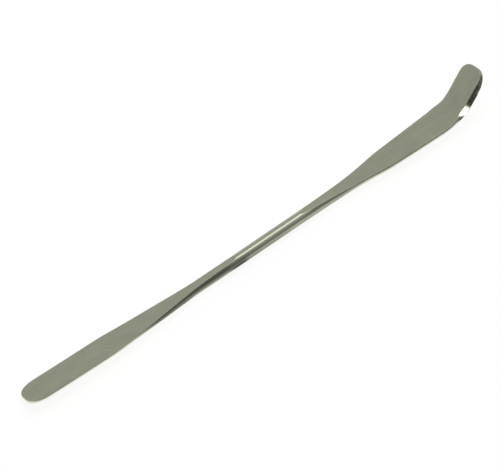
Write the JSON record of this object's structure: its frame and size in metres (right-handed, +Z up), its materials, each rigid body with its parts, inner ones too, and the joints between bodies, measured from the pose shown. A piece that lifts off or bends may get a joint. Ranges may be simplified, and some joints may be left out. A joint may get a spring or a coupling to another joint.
{
  "type": "lab spatula",
  "caption": "Double-ended steel lab spatula: round shank between a straight blunt blade and a paddle blade with an upturned tip, for lifting and spreading powders.",
  "frame": {"origin": "on the table, under the middle of the part as it lies at rest", "axes": "+X along the shank towards the upturned tip, +Z up; the blades lean about 22 degrees, far edge (+Y) down, as the part settles on its shank and the edge of the paddle"},
  "size_m": [0.1476, 0.011, 0.0114],
  "materials": {
    "steel": "satin blades, polished shank"
  },
  "bodies": {
    "root": {"spatula": "steel"}
  },
  "joints": []
}
